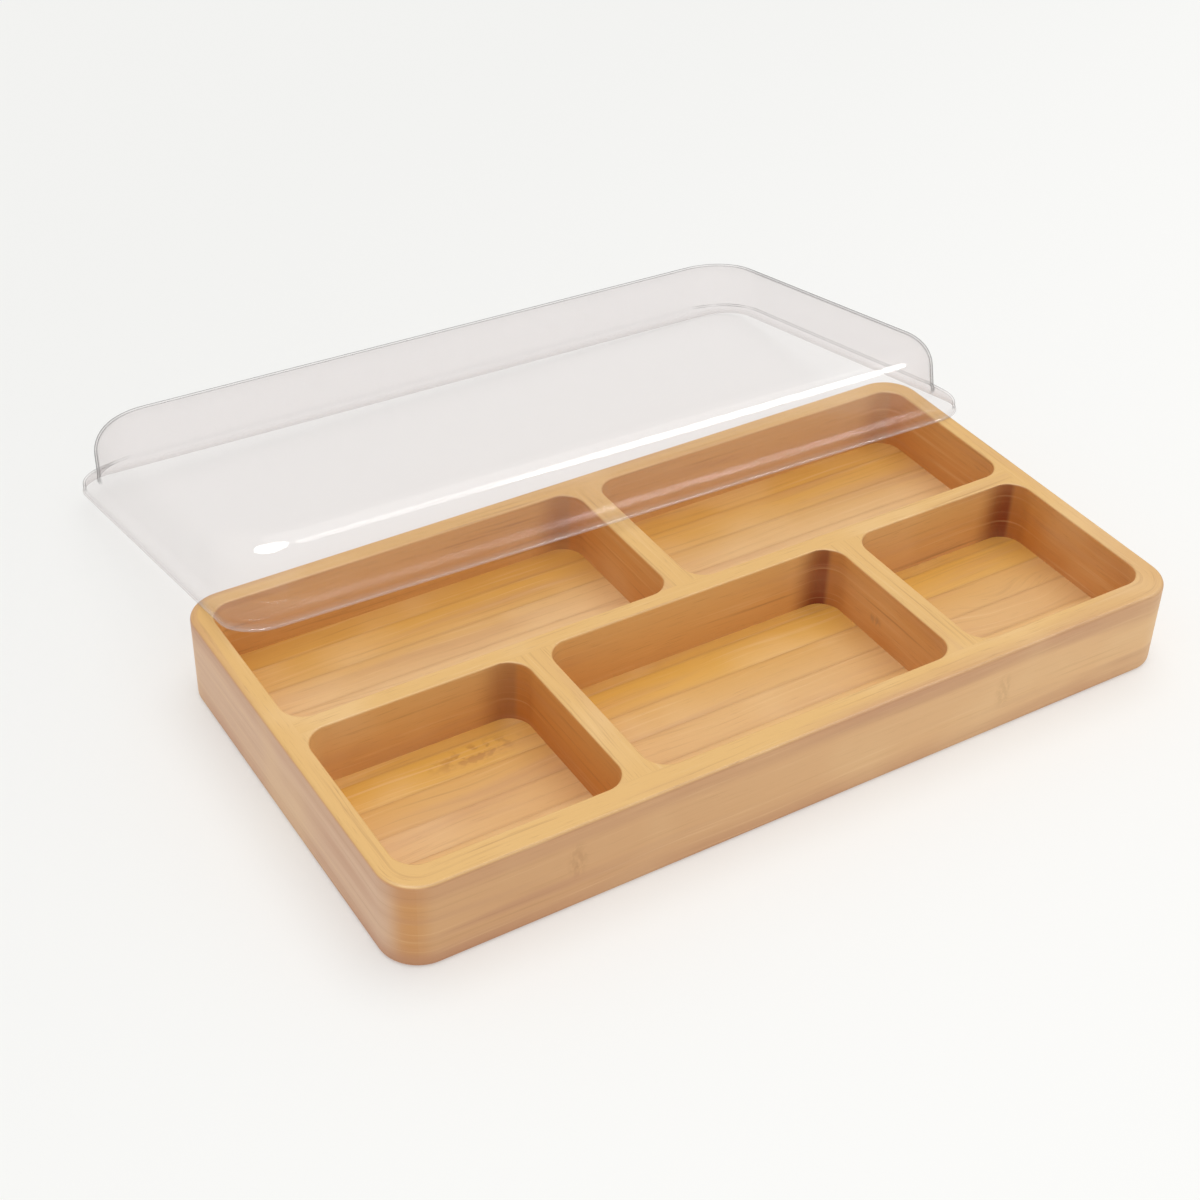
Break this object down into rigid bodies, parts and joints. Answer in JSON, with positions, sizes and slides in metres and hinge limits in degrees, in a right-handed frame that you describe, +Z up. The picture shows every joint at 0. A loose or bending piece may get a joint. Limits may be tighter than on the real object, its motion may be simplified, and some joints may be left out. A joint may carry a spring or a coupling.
{
  "type": "divided serving tray",
  "caption": "Shallow rectangular bamboo serving tray divided into pockets, with a clear domed lift-off lid leaning across its back.",
  "frame": {"origin": "middle of the tray's flat underside", "axes": "+X along the tray's length to the right, +Y towards the back where the lid leans, +Z up"},
  "size_m": [0.4119, 0.3755, 0.0845],
  "materials": {
    "bamboo_bar": "satin clear-oiled bamboo",
    "bamboo_base": "satin clear-oiled bamboo",
    "clear_plastic": "clear gloss, moulded"
  },
  "bodies": {
    "tray": {"base_strip_01": "bamboo_base", "base_strip_02": "bamboo_base", "base_strip_03": "bamboo_base", "base_strip_04": "bamboo_base", "base_strip_05": "bamboo_base", "base_strip_06": "bamboo_base", "base_strip_07": "bamboo_base", "base_strip_08": "bamboo_base", "base_strip_09": "bamboo_base", "base_strip_10": "bamboo_base", "base_strip_11": "bamboo_base", "front_rail": "bamboo_bar", "back_rail": "bamboo_bar", "left_side_rail": "bamboo_bar", "right_side_rail": "bamboo_bar", "long_divider": "bamboo_bar", "front_left_cross_divider": "bamboo_bar", "front_right_cross_divider": "bamboo_bar", "back_cross_divider": "bamboo_bar"},
    "lid": {"clear_lid": "clear_plastic"}
  },
  "joints": [
    {"name": "lid_lift", "type": "slide", "parent": "tray", "child": "lid", "axis": [0, 0, 1], "range_m": [0, 0.12]}
  ]
}
